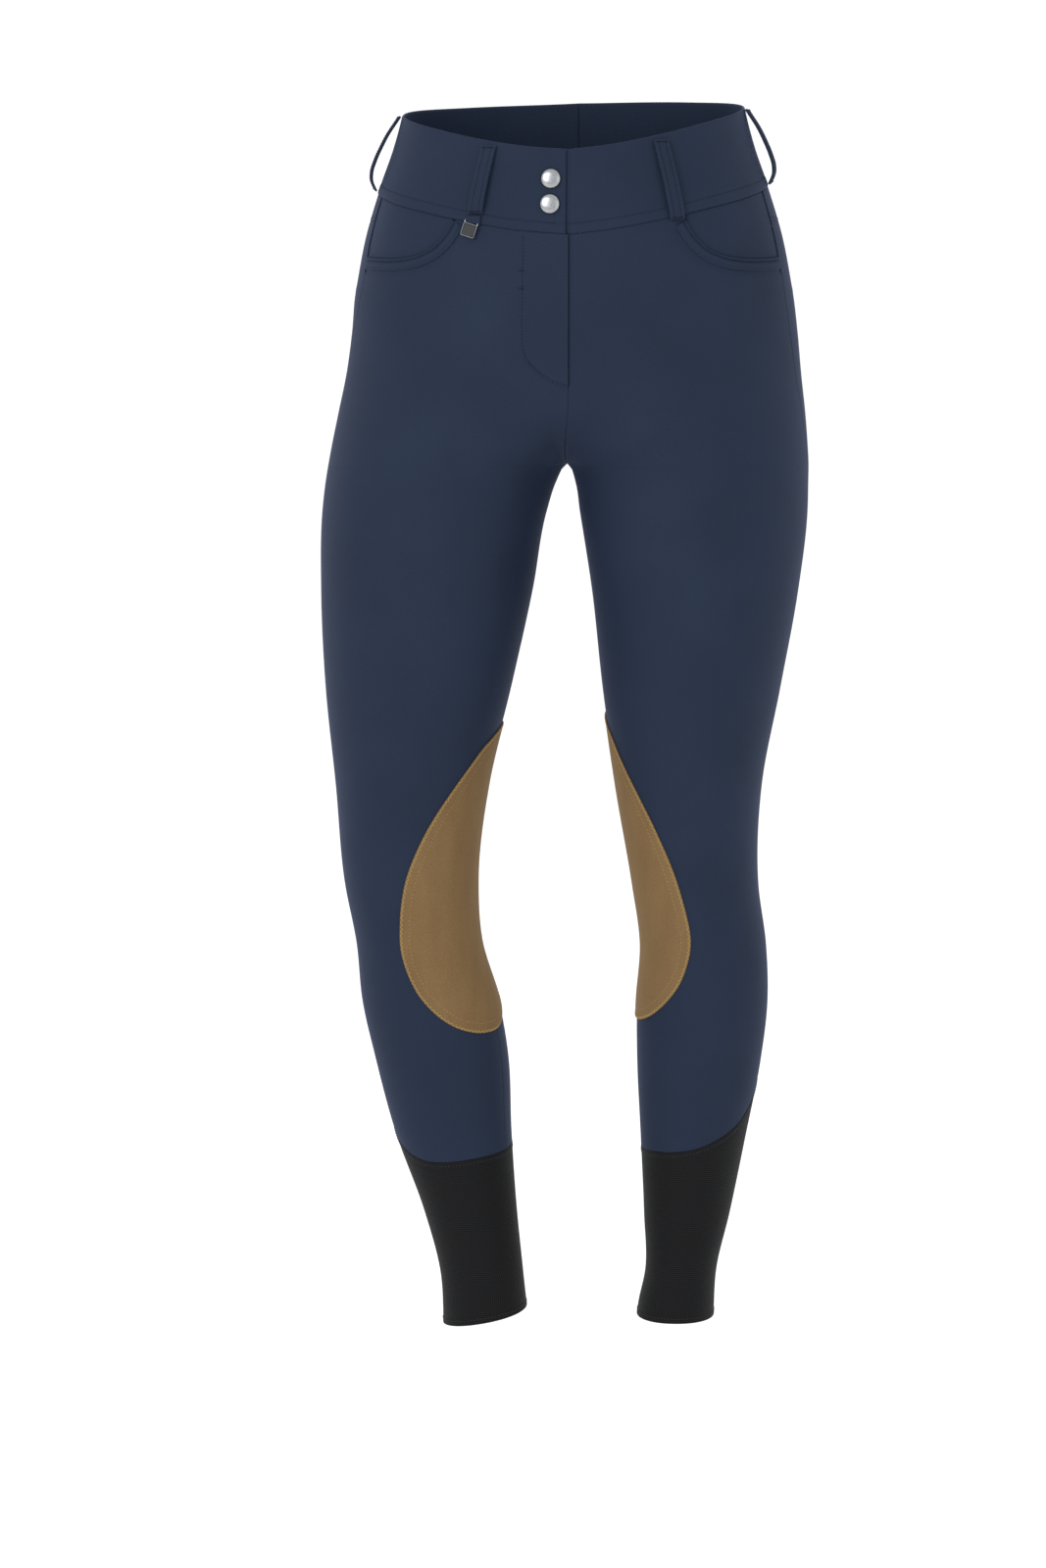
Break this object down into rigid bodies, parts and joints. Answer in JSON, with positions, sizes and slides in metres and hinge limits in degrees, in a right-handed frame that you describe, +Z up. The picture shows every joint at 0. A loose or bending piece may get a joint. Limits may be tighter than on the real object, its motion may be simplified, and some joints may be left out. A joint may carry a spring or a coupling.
{
  "type": "riding breeches",
  "caption": "Women's mid-rise riding breeches in worn form: shaped waistband, belt loops, front fly, curved front pockets, suede inner knee patches and stretch mesh cuffs.",
  "frame": {"origin": "centre of the waist at the height of the waistband's top edge at the sides", "axes": "+Z up, +X to the wearer's left, +Y to the wearer's back, in metres"},
  "size_m": [0.3945, 0.2443, 1.0069],
  "materials": {
    "stretch_cloth": "smooth matte stretch twill, navy",
    "suede": "brushed synthetic suede, tan",
    "knit": "fine black stretch mesh",
    "snap_metal": "silver cap, satin",
    "badge_metal": "dark enamel face, silver rim"
  },
  "bodies": {
    "root": {"front_right": "stretch_cloth", "back_right": "stretch_cloth", "yoke_right": "stretch_cloth", "pocket_facing_right": "stretch_cloth", "pocket_hem_right": "stretch_cloth", "front_left": "stretch_cloth", "back_left": "stretch_cloth", "yoke_left": "stretch_cloth", "pocket_facing_left": "stretch_cloth", "pocket_hem_left": "stretch_cloth", "waistband_right": "stretch_cloth", "waistband_left": "stretch_cloth", "fly_shield": "stretch_cloth", "belt_loop_front_right": "stretch_cloth", "belt_loop_front_left": "stretch_cloth", "belt_loop_side_right": "stretch_cloth", "belt_loop_side_left": "stretch_cloth", "belt_loop_back": "stretch_cloth", "badge_tab": "stretch_cloth", "knee_patch_right": "suede", "knee_patch_left": "suede", "cuff_right": "knit", "cuff_left": "knit", "snap_upper": "snap_metal", "snap_lower": "snap_metal", "badge_plate": "badge_metal"}
  },
  "joints": []
}
